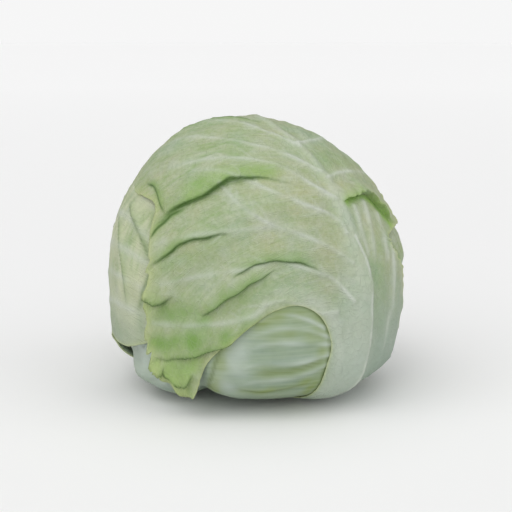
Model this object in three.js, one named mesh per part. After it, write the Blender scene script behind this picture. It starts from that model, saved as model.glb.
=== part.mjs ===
// A head of green cabbage, as cut: a tight inner head on its stump, wrapped in four loose outer leaves.
// Millimetres, +Z up, with the front of the head towards -Y. The origin is the middle of the stump's cut
// face, which the head stands on.
//
// Every leaf is drawn flat, in millimetres, with x to the right and y towards its tip, and then wrapped round
// the head. Folds, veins and lifted edges are heights above the head's round surface.

import * as THREE from "three";
import { mergeVertices } from "three/addons/utils/BufferGeometryUtils.js";

const { smoothstep, lerp, degToRad } = THREE.MathUtils;

// Driving dimensions of the whole head

const HALF_WIDTH = 88.5; // middle to side at the widest ring
const MIDDLE_HEIGHT = 68; // widest ring above the surface it stands on
const CROWN = 94.5; // widest ring to the top
const KEEL = 67; // widest ring to the underside of the leaves
const CROWN_POWER = 2; // 2 is an ellipsoid, and more is squarer
const KEEL_POWER = 3.8;
const LEAN = 7; // the top leans this far to -X
const DRAWING_RADIUS = 90; // a leaf's drawing is wrapped at this radius

const LEAF_THICKNESS = 1.6;
const LEAF_PITCH = 2.2; // from one layer of leaves to the next, so 0.6 stays clear
const HEAD_GAP = 0.7; // inner head to the lowest layer
const RELIEF_FADES = [-62, -36]; // latitudes between which the underside gets its relief

const STUMP_RADIUS = 17;
const STUMP_TOP = 7.2;
const STUMP_CHAMFER = 1;

// The front leaf, drawn flat about a point that faces the front, 10 degrees above the widest ring

// Each row is a line from the midrib out to both edges. A bow moves the middle of a line, so that the lines
// on the left come down into the loose corner, and those on the right follow the lip, where the edge folds
// over. The last fold is the step at the midrib's right side.
const FRONT_ROWS = [
  { rib: [26, -136], left: [15, -134], bow: [0, 0], right: [37, -138], bowRight: [0, 0] },
  { rib: [45, -104], left: [27, -104], bow: [0, 0], right: [68, -128], bowRight: [0, 0] },
  { rib: [54, -78], left: [36, -78], bow: [0, 0], right: [104, -104], bowRight: [0, 0] },
  { rib: [58, -56], left: [41, -54], bow: [0, 0], right: [124, -74], bowRight: [0, 0] },
  { rib: [60, -38], left: [44, -39], bow: [0, 0], right: [130, -42], bowRight: [0, 0] },
  { rib: [61, -24], left: [37, -23], bow: [0, 1], right: [127, -14], bowRight: [0, 0] },
  { rib: [62, -14], left: [21, -16], bow: [0, 8], right: [119, -1], bowRight: [0, 0] },
  { rib: [62, -5], left: [-2, -25], bow: [-4, 23], right: [112, 8], bowRight: [0, 0] },
  { rib: [62, 3], left: [-17, -38], bow: [-20, 26], right: [104, 14], bowRight: [0, 0] },
  { rib: [60, 11], left: [-28, -50], bow: [-30, 29], right: [97, 19], bowRight: [0, 4] },
  { rib: [58, 19], left: [-39, -75], bow: [-45, 42], right: [94, 24], bowRight: [0, 10] },
  { rib: [56, 28], left: [-64, -51], bow: [-36, 39], right: [95, 29], bowRight: [0, 16] },
  { rib: [54, 37], left: [-68, -24], bow: [-8, 31], right: [104, 33], bowRight: [0, 22] },
  { rib: [52, 46], left: [-65, 5], bow: [0, 18], right: [114, 42], bowRight: [0, 26] },
  { rib: [49, 57], left: [-65, 28], bow: [0, 13], right: [122, 62], bowRight: [0, 16] },
  { rib: [44, 67], left: [-62, 45], bow: [0, 9], right: [122, 88], bowRight: [0, 8] },
  { rib: [38, 77], left: [-82, 58], bow: [0, 10], right: [110, 114], bowRight: [0, 4] },
  { rib: [31, 88], left: [-120, 84], bow: [0, 4], right: [88, 136], bowRight: [0, 0] },
  { rib: [22, 101], left: [-98, 126], bow: [0, 0], right: [66, 152], bowRight: [0, 0] },
  { rib: [11, 122], left: [-72, 150], bow: [0, 0], right: [47, 163], bowRight: [0, 0] },
  { rib: [1, 150], left: [-48, 166], bow: [0, 0], right: [28, 172], bowRight: [0, 0] },
  { rib: [-8, 178], left: [-26, 174], bow: [0, 0], right: [10, 177], bowRight: [0, 0] },
];

const FRONT_VEINS = [
  { height: 2, width: 2.6, line: [[46, -20], [37, -21], [16, -13], [-3, -21], [-28, -27], [-63, -29]] },
  { height: 1.3, width: 2.2, line: [[56, -14], [36, 2], [14, 8], [1, 6], [-33, 0], [-56, -5]] },
  { height: 1.3, width: 2.2, line: [[56, 8], [35, 20], [13, 27], [-1, 26], [-33, 24], [-60, 19]] },
  { height: 1, width: 2, line: [[54, 25], [46, 35], [26, 42], [4, 52], [-34, 64]] },
  { height: 1, width: 2, line: [[50, 46], [32, 57], [12, 67], [-14, 71], [-48, 69]] },
  { height: 1, width: 2, line: [[44, 64], [31, 71], [16, 78], [-2, 83], [-42, 96], [-70, 99]] },
  { height: 1.6, width: 2.6, line: [[73, 48], [75, 30], [76, 12], [75, -6]] },
  { height: 1.3, width: 2.4, line: [[86, 42], [88, 26], [91, 8], [92, -12]] },
];

// A fold stands up on its upper side and falls off steeply on its lower side. Lines run left to right.
const FRONT_FOLDS = [
  { height: 5, reach: 22, line: [[-62, 31], [-46, 41], [-34, 45], [-25, 49], [-13, 56], [4, 58], [31, 52]] },
  { height: 3, reach: 14, line: [[-68, 4], [-51, 13], [-44, 18], [-33, 22], [-10, 25]] },
  { height: 2.4, reach: 12, line: [[-14, 0], [3, 9], [15, 10], [27, 8], [40, 1]] },
  { height: 3, reach: 12, line: [[-32, -22], [-17, -12], [-7, -5], [2, 0], [14, 6]] },
  { height: 3.4, reach: 13, line: [[-70, -52], [-44, -46], [-29, -41], [-14, -35], [1, -23], [10, -18]] },
  { height: 5, reach: 12, line: [[52, 46], [57, 51], [63, 56], [78, 60], [88, 55], [98, 47], [114, 40]] },
  { height: 2.2, reach: 15, line: [[56, -84], [61, -69], [69, -37], [70, -22], [69, -6], [61, 26]] },
];
const FOLD_DROP = 5; // how far below its line a fold has fallen off
const FOLD_FADES = { rise: 0.22, fall: 0.72 }; // shares of its length where a fold is full height
const VEIN_TAPER = 0.8; // share of its height that a vein loses on the way to the edge
const RIB_TAPER = { height: 0.75, width: 1.4 };

const FRONT_RIB = { height: 3.4, base: 17, tip: 3, sharpness: 2.5 };
const FLAP = { middle: [-45, -46], across: 20, slope: 0.08 }; // the loose corner leans out below its fold
const FRONT_FRILL = { height: 1.5, closeness: 8, waves: 46, starts: [0.42, 0.52], lip: [0.5, 0.62] };

// The other outer leaves share one outline: half of it, from the stalk to the tip. A notched half is cut away
// beside the stalk.

const WRAPPER_ROWS = [
  { rib: -122, edge: [18, -120], bow: 0, notch: [10, -122] },
  { rib: -84, edge: [40, -90], bow: 2, notch: [13, -82] },
  { rib: -54, edge: [56, -70], bow: 6, notch: [17, -50] },
  { rib: -38, edge: [68, -56], bow: 8, notch: [34, -39] },
  { rib: -24, edge: [80, -43], bow: 10, notch: [64, -42] },
  { rib: -8, edge: [94, -26], bow: 12, notch: [90, -32] },
  { rib: 12, edge: [106, 0], bow: 12 },
  { rib: 34, edge: [104, 34], bow: 10 },
  { rib: 56, edge: [84, 66], bow: 6 },
  { rib: 76, edge: [46, 92], bow: 2 },
  { rib: 100, edge: [12, 101], bow: 0 },
];
const WRAPPER_WAVE = { height: 3, turn: 1.9 }; // how the outline wanders from row to row
const WRAPPER_FRILL = { height: 1.2, closeness: 6, waves: 18 };
const WRAPPER_VEINS = { reach: 96, shortening: 0.7, height: 1.4, width: 2.4 };
const WRAPPER_VEIN_STARTS = [-34, -16, 2, 20, 40, 62]; // along the midrib
const WRAPPER_RIB = { height: 3, base: 16, tip: 3, sharpness: 2.5 };

// Longitude 0 is the front and 90 is +X. Relief stays inside the exposed ellipse, which no other leaf covers.
const WRAPPERS = [
  {
    name: "leaf_back", layer: 1, longitude: 186, latitude: 6, width: 0.86, dome: 2.5, phase: 1.3,
    exposed: { middle: [0, -8], radii: [96, 84] },
    folds: [
      { height: 4.5, reach: 18, line: [[-72, 20], [-52, 32], [-30, 36], [-8, 30]] },
      { height: 3.5, reach: 14, line: [[10, 2], [30, 12], [52, 12], [78, 0]] },
      { height: 3.5, reach: 14, line: [[-80, -20], [-56, -6], [-34, -2], [-10, -8]] },
      { height: 3.5, reach: 14, line: [[8, 36], [28, 44], [50, 40], [70, 28]] },
    ],
  },
  {
    name: "leaf_left", layer: 0, longitude: -98, latitude: 4, width: 0.94, dome: 3.2, phase: 2.1,
    notched: true,
    exposed: { middle: [24, -14], radii: [54, 60] },
    folds: [{ height: 1.6, reach: 10, line: [[40, 48], [52, 42], [64, 36], [75, 27], [88, 14]] }],
  },
  {
    name: "leaf_right", layer: 0, longitude: 116, latitude: 4, width: 0.9, dome: 3.2, phase: 4.4,
    exposed: { middle: [-26, -8], radii: [40, 62] },
    folds: [{ height: 2.5, reach: 16, line: [[-48, 2], [-34, 10], [-18, 12], [-4, 6]] }],
  },
];
const FULL_RELIEF = 0.55; // share of the exposed ellipse that has all its relief

// The inner head swells out where the front leaf leaves it bare: between the stalk and the loose corner, and
// left of that corner. Each swell is flat as far out as its flat radius.
const HEAD_SWELLS = [
  { height: 4.6, longitude: 8, latitude: -24, flat: 36, radius: 56 },
  { height: 5.5, longitude: -58, latitude: -46, flat: 12, radius: 30 },
];
const HEAD_RIBS = { count: 9, height: 1.2, latitude: -40, spread: 26 };

const LINE_STEPS = 24;
const FRONT_GRID = { rows: 42, left: 22, right: 13 };
const WRAPPER_GRID = { rows: 22, left: 9, right: 9 };
const HEAD_GRID = { around: 40, up: 22 };
const STUMP_SIDES = 28;

// The head's round surface

function directionAt(longitude, latitude) {
  const lon = degToRad(longitude);
  const lat = degToRad(latitude);
  return new THREE.Vector3(Math.sin(lon) * Math.cos(lat), -Math.cos(lon) * Math.cos(lat), Math.sin(lat));
}

// Distance from the head's middle to its outer surface: taller above the widest ring, squarer below it.
function outerRadius(direction) {
  const across = Math.hypot(direction.x, direction.y) / HALF_WIDTH;
  const [height, power] = direction.z > 0 ? [CROWN, CROWN_POWER] : [KEEL, KEEL_POWER];
  return (across ** power + (Math.abs(direction.z) / height) ** power) ** (-1 / power);
}

function pointAt(direction, radius) {
  const point = direction.clone().multiplyScalar(radius);
  point.x -= LEAN * (Math.max(point.z, 0) / CROWN) ** 2;
  point.z += MIDDLE_HEIGHT;
  return point;
}

function undersideFade(direction) {
  const latitude = Math.asin(direction.z) / degToRad(1);
  return smoothstep(latitude, ...RELIEF_FADES);
}

// Lines drawn on a leaf

function spline(points) {
  return new THREE.SplineCurve(points.map(([x, y]) => new THREE.Vector2(x, y)));
}

// The nearest place on a line: how far off it a point lies, positive on its left, and how far along that is.
function nearest(line, x, y) {
  const best = { distance: Infinity, offset: 0, along: 0 };
  for (let i = 0; i + 1 < line.length; i++) {
    const [a, b] = [line[i], line[i + 1]];
    const [dx, dy] = [b.x - a.x, b.y - a.y];
    const share = THREE.MathUtils.clamp(((x - a.x) * dx + (y - a.y) * dy) / (dx * dx + dy * dy), 0, 1);
    const distance = Math.hypot(x - a.x - share * dx, y - a.y - share * dy);
    if (distance < best.distance) {
      best.distance = distance;
      best.offset = Math.sign(dx * (y - a.y) - dy * (x - a.x)) * distance;
      best.along = (i + share) / (line.length - 1);
    }
  }
  return best;
}

function veinHeight(vein, x, y) {
  const { distance, along } = nearest(vein.drawn, x, y);
  return vein.height * (1 - VEIN_TAPER * along) * Math.exp(-((distance / vein.width) ** 2));
}

function foldHeight(fold, x, y) {
  const { offset, along } = nearest(fold.drawn, x, y);
  const ends = smoothstep(along, 0, FOLD_FADES.rise) * (1 - smoothstep(along, FOLD_FADES.fall, 1));
  const below = smoothstep(offset, -FOLD_DROP, 0);
  const above = (1 + Math.cos(Math.PI * Math.min(1, offset / fold.reach))) / 2;
  return fold.height * ends * (offset < 0 ? below : above);
}

function ribHeight(rib, line, x, y) {
  const { distance, along } = nearest(line, x, y);
  const width = lerp(rib.base, rib.tip, Math.min(1, along * RIB_TAPER.width));
  return rib.height * (1 - RIB_TAPER.height * along) * Math.exp(-((distance / width) ** rib.sharpness));
}

// Waves that stand up along an edge: share is 1 on the edge, and s runs from the stalk to the tip.
function frillHeight(frill, share, s, phase) {
  return frill.height * share ** frill.closeness * (1 + Math.sin(s * frill.waves + phase));
}

function sumOf(features, height, x, y) {
  return features.reduce((sum, feature) => sum + height(feature, x, y), 0);
}

// Leaves

function leafFrame(longitude, latitude) {
  const middle = directionAt(longitude, latitude);
  const east = directionAt(longitude + 90, 0);
  return { middle, east, north: new THREE.Vector3().crossVectors(middle, east) };
}

// A point of the drawing on the head: distances and bearings from the drawing's middle stay true.
function wrap({ middle, east, north }, x, y) {
  const distance = Math.hypot(x, y) || 1e-9;
  const angle = distance / DRAWING_RADIUS;
  return middle.clone().multiplyScalar(Math.cos(angle))
    .addScaledVector(east, (Math.sin(angle) * x) / distance)
    .addScaledVector(north, (Math.sin(angle) * y) / distance)
    .normalize();
}

// A place on a bowed line from the midrib to an edge, share 0 to 1.
function alongRow(rib, edge, bow, share) {
  const middle = rib.clone().lerp(edge, 0.5).add(bow);
  const toMiddle = rib.clone().lerp(middle, share);
  return toMiddle.lerp(middle.lerp(edge, share), share);
}

// The leaf's middle surface as rows of points, each row from the left edge over the midrib to the right edge.
function leafPoints(leaf, grid) {
  const ribs = spline(leaf.rows.map((r) => r.rib));
  const edges = { left: spline(leaf.rows.map((r) => r.left)), right: spline(leaf.rows.map((r) => r.right)) };
  const bows = { left: spline(leaf.rows.map((r) => r.bow)), right: spline(leaf.rows.map((r) => r.bowRight)) };
  const frame = leafFrame(leaf.longitude, leaf.latitude);
  const rows = [];
  for (let i = 0; i <= grid.rows; i++) {
    const s = i / grid.rows;
    const rib = ribs.getPoint(s);
    const row = [];
    for (let j = -grid.left; j <= grid.right; j++) {
      const share = j < 0 ? -j / grid.left : j / grid.right;
      const half = j < 0 ? "left" : "right";
      const flat = alongRow(rib, edges[half].getPoint(s), bows[half].getPoint(s), share);
      const direction = wrap(frame, flat.x, flat.y);
      const height = leaf.height(flat.x, flat.y, Math.sign(j) * share, s) * undersideFade(direction);
      row.push(pointAt(direction, outerRadius(direction) - leaf.depth - LEAF_THICKNESS / 2 + height));
    }
    rows.push(row);
  }
  return rows;
}

function surfaceNormals(points) {
  const rows = points.length - 1;
  const columns = points[0].length - 1;
  const step = (a, b) => new THREE.Vector3().subVectors(b, a);
  return points.map((row, i) => row.map((_, j) => {
    const up = step(points[Math.max(i - 1, 0)][j], points[Math.min(i + 1, rows)][j]);
    const across = step(row[Math.max(j - 1, 0)], row[Math.min(j + 1, columns)]);
    return across.cross(up).normalize();
  }));
}

// A blade of even thickness about its middle surface, with both faces split alike and a closed rim.
function bladeGeometry(points) {
  const normals = surfaceNormals(points);
  const rows = points.length;
  const columns = points[0].length;
  const last = columns - 1;
  const positions = [];
  for (const side of [0.5, -0.5])
    points.forEach((row, i) => row.forEach((p, j) => {
      positions.push(...p.clone().addScaledVector(normals[i][j], side * LEAF_THICKNESS));
    }));
  const outside = (i, j) => i * columns + j;
  const inside = (i, j) => rows * columns + i * columns + j;
  const triangles = [];
  const quad = (a, b, c, d) => triangles.push(a, b, c, a, c, d);
  for (let i = 0; i + 1 < rows; i++)
    for (let j = 0; j + 1 < columns; j++) {
      quad(outside(i, j), outside(i, j + 1), outside(i + 1, j + 1), outside(i + 1, j));
      triangles.push(inside(i, j), inside(i + 1, j + 1), inside(i, j + 1));
      triangles.push(inside(i, j), inside(i + 1, j), inside(i + 1, j + 1));
    }
  for (let j = 0; j + 1 < columns; j++) {
    quad(inside(0, j), inside(0, j + 1), outside(0, j + 1), outside(0, j));
    quad(outside(rows - 1, j), outside(rows - 1, j + 1), inside(rows - 1, j + 1), inside(rows - 1, j));
  }
  for (let i = 0; i + 1 < rows; i++) {
    quad(inside(i + 1, 0), inside(i, 0), outside(i, 0), outside(i + 1, 0));
    quad(inside(i, last), inside(i + 1, last), outside(i + 1, last), outside(i, last));
  }
  const geometry = new THREE.BufferGeometry();
  geometry.setAttribute("position", new THREE.Float32BufferAttribute(positions, 3));
  geometry.setIndex(triangles);
  geometry.computeVertexNormals();
  return geometry;
}

function drawn(features) {
  return features.map((feature) => ({ ...feature, drawn: spline(feature.line).getPoints(LINE_STEPS) }));
}

function frontLeaf() {
  const ribLine = spline(FRONT_ROWS.map((row) => row.rib)).getPoints(2 * LINE_STEPS);
  const veins = drawn(FRONT_VEINS);
  const folds = drawn(FRONT_FOLDS);
  const flapHeight = (x, y) => {
    const across = (x - FLAP.middle[0]) / FLAP.across;
    return FLAP.slope * Math.max(0, FLAP.middle[1] - y) * Math.exp(-(across ** 2));
  };
  // The left edge is frilled from its loose corner up, and the right edge only above its lip.
  const frill = (share, s) => {
    const grows = smoothstep(s, ...(share < 0 ? FRONT_FRILL.starts : FRONT_FRILL.lip));
    return grows * frillHeight(FRONT_FRILL, Math.abs(share), s, 0);
  };
  return {
    name: "leaf_front", rows: FRONT_ROWS, longitude: 0, latitude: 10, depth: 0,
    height: (x, y, share, s) => ribHeight(FRONT_RIB, ribLine, x, y)
      + sumOf(veins, veinHeight, x, y)
      + sumOf(folds, foldHeight, x, y)
      + flapHeight(x, y)
      + frill(share, s),
  };
}

// Side veins of a wrapper leaf leave its midrib upwards and bend out to the edge.
function wrapperVeins({ width }) {
  const { reach, shortening, ...section } = WRAPPER_VEINS;
  const veins = [];
  for (const side of [-1, 1])
    for (const start of WRAPPER_VEIN_STARTS) {
      const end = side * width * (reach - Math.max(0, start) * shortening);
      const line = [[0, start], [end * 0.3, start + 14], [end * 0.65, start + 18], [end, start + 12]];
      veins.push({ ...section, line });
    }
  return veins;
}

function wrapperRows(leaf) {
  return WRAPPER_ROWS.map(({ rib, edge, bow, notch }, i) => {
    const wave = WRAPPER_WAVE.height * Math.sin(WRAPPER_WAVE.turn * i + leaf.phase);
    const rightEdge = leaf.notched && notch ? notch : edge;
    return {
      rib: [0, rib], bow: [0, bow], bowRight: [0, bow],
      left: [-edge[0] * leaf.width - wave, edge[1]],
      right: [rightEdge[0] * leaf.width - wave, rightEdge[1]],
    };
  });
}

function wrapperLeaf(leaf) {
  const rows = wrapperRows(leaf);
  const ribLine = spline(rows.map((row) => row.rib)).getPoints(2 * LINE_STEPS);
  const veins = drawn(wrapperVeins(leaf));
  const folds = drawn(leaf.folds);
  const bare = (x, y) => {
    const [[middleX, middleY], [radiusX, radiusY]] = [leaf.exposed.middle, leaf.exposed.radii];
    return 1 - smoothstep(Math.hypot((x - middleX) / radiusX, (y - middleY) / radiusY), FULL_RELIEF, 1);
  };
  return {
    ...leaf, rows, depth: (2 - leaf.layer) * LEAF_PITCH,
    height: (x, y, share, s) => bare(x, y) * (leaf.dome
      + ribHeight(WRAPPER_RIB, ribLine, x, y)
      + sumOf(veins, veinHeight, x, y)
      + sumOf(folds, foldHeight, x, y)
      + frillHeight(WRAPPER_FRILL, Math.abs(share), s, leaf.phase)),
  };
}

// Inner head and stump

function swellHeight({ height, longitude, latitude, flat, radius }, direction) {
  const away = direction.angleTo(directionAt(longitude, latitude)) * DRAWING_RADIUS;
  return height * (1 - smoothstep(away, flat, radius));
}

function headGeometry() {
  const inset = 2 * LEAF_PITCH + LEAF_THICKNESS + HEAD_GAP;
  const geometry = new THREE.SphereGeometry(1, HEAD_GRID.around, HEAD_GRID.up);
  geometry.rotateX(Math.PI / 2);
  geometry.deleteAttribute("normal");
  geometry.deleteAttribute("uv");
  const merged = mergeVertices(geometry, 1e-5);
  const position = merged.getAttribute("position");
  for (let i = 0; i < position.count; i++) {
    const direction = new THREE.Vector3().fromBufferAttribute(position, i).normalize();
    const swell = HEAD_SWELLS.reduce((sum, part) => sum + swellHeight(part, direction), 0);
    const longitude = Math.atan2(direction.x, -direction.y);
    const latitude = Math.asin(direction.z) / degToRad(1);
    const low = Math.exp(-(((latitude - HEAD_RIBS.latitude) / HEAD_RIBS.spread) ** 2));
    const groove = (1 - Math.cos(HEAD_RIBS.count * longitude)) / 2;
    const ribs = -HEAD_RIBS.height * low * groove * undersideFade(direction);
    const point = pointAt(direction, outerRadius(direction) - inset + swell + ribs);
    position.setXYZ(i, point.x, point.y, point.z);
  }
  merged.computeVertexNormals();
  return merged;
}

function stumpGeometry() {
  const profile = [
    [0, 0],
    [STUMP_RADIUS - STUMP_CHAMFER, 0],
    [STUMP_RADIUS, STUMP_CHAMFER],
    [STUMP_RADIUS, STUMP_TOP],
    [0, STUMP_TOP],
  ];
  const geometry = new THREE.LatheGeometry(profile.map(([r, z]) => new THREE.Vector2(r, z)), STUMP_SIDES);
  return geometry.rotateX(Math.PI / 2);
}

// Materials and the assembled head

const finish = (color, roughness) => new THREE.MeshStandardMaterial({ color, roughness, metalness: 0 });
const LEAF_FINISH = finish(0xa3b78c, 0.62);
const HEAD_FINISH = finish(0xa9bcae, 0.6);
const STUMP_FINISH = finish(0xcfd0b4, 0.75);

function namedMesh(name, geometry, material) {
  const mesh = new THREE.Mesh(geometry, material);
  mesh.name = name;
  return mesh;
}

const cabbage = new THREE.Group();
cabbage.add(namedMesh("stump", stumpGeometry(), STUMP_FINISH));
cabbage.add(namedMesh("inner_head", headGeometry(), HEAD_FINISH));
for (const wrapper of WRAPPERS) {
  const points = leafPoints(wrapperLeaf(wrapper), WRAPPER_GRID);
  cabbage.add(namedMesh(wrapper.name, bladeGeometry(points), LEAF_FINISH));
}
const front = frontLeaf();
cabbage.add(namedMesh(front.name, bladeGeometry(leafPoints(front, FRONT_GRID)), LEAF_FINISH));

export default cabbage;
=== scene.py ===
"""A head of green cabbage: a tight inner head on its stump, wrapped in four loose outer leaves.

Every leaf is drawn flat, in millimetres, with x to the right and y towards its tip, and then wrapped round
the head. Folds, veins and lifted edges are heights above the head's round surface. The finished pieces are in
metres.
"""

import math

import bpy
import numpy as np
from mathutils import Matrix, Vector, noise


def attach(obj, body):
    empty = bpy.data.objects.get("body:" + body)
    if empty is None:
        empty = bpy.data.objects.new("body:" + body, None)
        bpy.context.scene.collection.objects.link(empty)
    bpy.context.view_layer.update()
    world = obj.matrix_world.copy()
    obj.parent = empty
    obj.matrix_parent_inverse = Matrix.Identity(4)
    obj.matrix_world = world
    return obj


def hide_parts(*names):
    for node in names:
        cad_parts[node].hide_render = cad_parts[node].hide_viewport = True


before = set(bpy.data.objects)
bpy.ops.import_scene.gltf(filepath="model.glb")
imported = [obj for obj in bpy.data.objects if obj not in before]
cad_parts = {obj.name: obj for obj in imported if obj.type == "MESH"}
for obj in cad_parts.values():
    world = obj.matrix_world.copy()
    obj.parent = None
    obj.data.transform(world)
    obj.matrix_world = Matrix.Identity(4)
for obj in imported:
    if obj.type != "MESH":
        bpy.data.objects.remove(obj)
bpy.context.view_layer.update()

MM = 0.001

# The head's round surface, as in the solids

HALF_WIDTH = 88.5
MIDDLE_HEIGHT = 68
CROWN = 94.5
KEEL = 67
CROWN_POWER = 2.0
KEEL_POWER = 3.8
LEAN = 7
DRAWING_RADIUS = 90
LEAF_PITCH = 2.2
HEAD_INSET = 2 * LEAF_PITCH + 1.6 + 0.7
RELIEF_FADES = (-62, -36)

LEAF_THICKNESS = 1.4
EDGE_THICKNESS = 0.5  # share of the thickness that is left at a leaf's edge

# The front leaf: rows from the midrib out to both edges, with a bow that lifts the middle of each line

FRONT_ROWS = [
    # midrib, left edge, right edge, bow to the left, bow to the right
    ((26, -136), (15, -134), (37, -138), (0, 0), (0, 0)),
    ((45, -104), (27, -104), (68, -128), (0, 0), (0, 0)),
    ((54, -78), (36, -78), (104, -104), (0, 0), (0, 0)),
    ((58, -56), (41, -54), (124, -74), (0, 0), (0, 0)),
    ((60, -38), (44, -39), (130, -42), (0, 0), (0, 0)),
    ((61, -24), (37, -23), (127, -14), (0, 1), (0, 0)),
    ((62, -14), (21, -16), (119, -1), (0, 8), (0, 0)),
    ((62, -5), (-2, -25), (112, 8), (-4, 23), (0, 0)),
    ((62, 3), (-17, -38), (104, 14), (-20, 26), (0, 0)),
    ((60, 11), (-28, -50), (97, 19), (-30, 29), (0, 4)),
    ((58, 19), (-39, -72), (94, 24), (-45, 42), (0, 10)),
    ((56, 28), (-64, -51), (95, 29), (-36, 39), (0, 16)),
    ((54, 37), (-68, -24), (104, 33), (-8, 31), (0, 22)),
    ((52, 46), (-65, 5), (114, 42), (0, 18), (0, 26)),
    ((49, 57), (-65, 28), (122, 62), (0, 13), (0, 16)),
    ((44, 67), (-62, 45), (122, 88), (0, 9), (0, 8)),
    ((38, 77), (-82, 58), (110, 114), (0, 10), (0, 4)),
    ((31, 88), (-120, 84), (88, 136), (0, 4), (0, 0)),
    ((22, 101), (-98, 126), (66, 152), (0, 0), (0, 0)),
    ((11, 122), (-72, 150), (47, 163), (0, 0), (0, 0)),
    ((1, 150), (-48, 166), (28, 172), (0, 0), (0, 0)),
    ((-8, 178), (-26, 174), (10, 177), (0, 0), (0, 0)),
]
FRONT_MIDDLE = {"longitude": 0, "latitude": 10}

# Rows of the mesh between two drawn rows: close where the creases are
FRONT_STEPS = [4] * 4 + [5, 10, 12, 12, 12, 20, 26, 21, 22, 18, 14, 15, 14, 16, 12, 6, 5]

# Veins: height, half width, line from the midrib outwards
FRONT_VEINS = [
    (1.4, 1.9, [(46, -20), (37, -21), (30, -18), (16, -13), (6, -15), (-3, -21), (-28, -27), (-63, -29)]),
    (1.0, 1.7, [(56, -14), (45, -2), (36, 2), (14, 8), (1, 6), (-33, 0), (-56, -5)]),
    (1.0, 1.7, [(56, 8), (48, 14), (35, 20), (13, 27), (-1, 26), (-33, 24), (-60, 19)]),
    (0.8, 1.4, [(13, 27), (3, 32), (-6, 39), (-12, 46), (-18, 54)]),
    (0.9, 1.5, [(54, 25), (46, 35), (26, 42), (4, 52), (-8, 58), (-34, 64)]),
    (0.9, 1.5, [(50, 46), (32, 57), (12, 67), (-14, 71), (-48, 69)]),
    (0.9, 1.6, [(44, 64), (31, 71), (16, 78), (-2, 83), (-42, 96), (-70, 99)]),
    (0.8, 1.4, [(34, 82), (20, 91), (4, 101), (-20, 112), (-50, 124)]),
    (1.1, 2.6, [(73, 48), (75, 32), (76, 14)]),
    (0.8, 2.2, [(64, 44), (67, 28), (70, 14)]),
    (1.0, 2.6, [(86, 42), (88, 28), (90, 12)]),
    (0.5, 2.6, [(97, 20), (99, 0), (98, -24), (90, -50)]),
    (0.9, 1.6, [(47, 60), (60, 68), (76, 74), (96, 84)]),
    (0.9, 1.6, [(32, 84), (48, 96), (64, 112), (74, 130)]),
]
BRANCHED_VEINS = 8
BRANCH = {
    "height": 0.3, "width": 0.9, "length": 17, "turn": 0.75, "bends": (1, 0.7, 0.4), "pale": 0.55,
    "places": (0.15, 0.3, 0.45, 0.6, 0.75),
}

# Folds: height, reach above the line, overhang, groove, line from left to right. A fold stands up above its
# line, leans over it, and falls steeply into a groove below it, where a dark line of painted shade lies.
# A fold of no height is only that line of painted shade.
FRONT_FOLDS = [
    (1.5, 14, 1.4, 0.5, [(-60, 33), (-46, 41), (-34, 45), (-25, 49), (-13, 56), (-3, 57), (9, 57), (31, 52)]),
    (1.3, 22, 0.5, 0.6, [(-62, 30), (-46, 40), (-34, 45), (-25, 49), (-13, 55), (4, 58)]),
    (1.6, 13, 1.3, 0.5, [(-68, 4), (-51, 13), (-44, 18), (-33, 22), (-24, 23), (-10, 25)]),
    (1.2, 11, 1.2, 0.4, [(-14, 0), (-6, 5), (3, 9), (15, 10), (27, 8), (40, 1)]),
    (1.6, 11, 1.4, 0.6, [(-32, -22), (-26, -18), (-17, -12), (-7, -5), (2, 0), (14, 6)]),
    (2.6, 13, 1.6, 0.5, [(-70, -52), (-44, -46), (-29, -41), (-14, -35), (-6, -29), (1, -23), (10, -18)]),
    (1.0, 9, 0.8, 0.4, [(-72, 63), (-63, 58), (-57, 47), (-52, 36)]),
    (1.8, 8, 1.2, 0.8, [(-72, -12), (-65, -15), (-61, -17), (-56, -15), (-48, -11)]),
    (1.4, 20, 1.0, 0.6, [(14, 106), (-9, 115), (-27, 118), (-48, 116), (-66, 104)]),
    (2.6, 7, 2.2, 1.2, [(-54, -53), (-49, -60), (-42, -62), (-35, -54)]),
    (2.2, 7, 1.6, 1.0, [(-68, -50), (-62, -57), (-57, -58), (-52, -52)]),
    (0.6, 6, 0.4, 0.3, [(-66, 22), (-58, 30), (-48, 37), (-38, 41)]),
]
FOLD = {"wander": 0.8, "start": 0.22, "end": 0.72, "lean": 4.0, "valley": 5}
# Green along a fold's line: the leaf's greener band above it, painted shade below it
FOLD_GREEN_AND_SHADE = {"share": 0.75, "above": 4, "below": 2.4}

# The lip on the right half: a fold with a frilled edge and hardly any painted shade in its crease
LIP = (4.6, 11, 4.0, 1.6, [(54, 45), (59, 50), (65, 54), (72, 57), (80, 57), (90, 51), (100, 44), (116, 38)])
LIP_LOOK = {"crease_shading": 0.1, "frill": 0.5}

# Fine wrinkles: their depth, width and green, which is painted shade in them, and the cells, turn and seed of
# their field on a leaf
GROOVE = {"depth": 0.4, "width": 0.2, "green": 0.5}
FRONT_GROOVES = {"cell_x": 24, "cell_y": 6, "turn": 0.25, "seed": 15.6}
GROOVED_X = (34, -12)  # where the front leaf's wrinkles start, and where they are whole
WRAPPER_GROOVES = {"cell_x": 6, "cell_y": 28, "turn": 0.1, "seed": 17.3}

# The midrib's right side ends in a step, which is a fold with its raised side on the left
RIB_STEP = (
    2.2, 15, 0.6, 0.5,
    [(56, -84), (61, -69), (65, -56), (69, -37), (70, -22), (69, -6), (66, 10), (61, 26)],
)
# How much painted crease shade the step has
RIB_STEP_SHADE = 0.15

# Paler strokes, beside the bare head and along the midrib: share, half width, line
FRONT_PALES = [
    (0.5, 4.5, [(40, -76), (46, -62), (49, -46), (48, -33), (41, -20), (28, -12), (14, -9)]),
    (1.3, 1.3, [(55, -80), (60, -68), (64, -55), (68, -37), (69, -21), (68, -5), (65, 9), (60, 24)]),
    (0.5, 5.0, [(54, 40), (57, 24), (60, 6), (61, -12), (60, -34), (56, -58)]),
]

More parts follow.
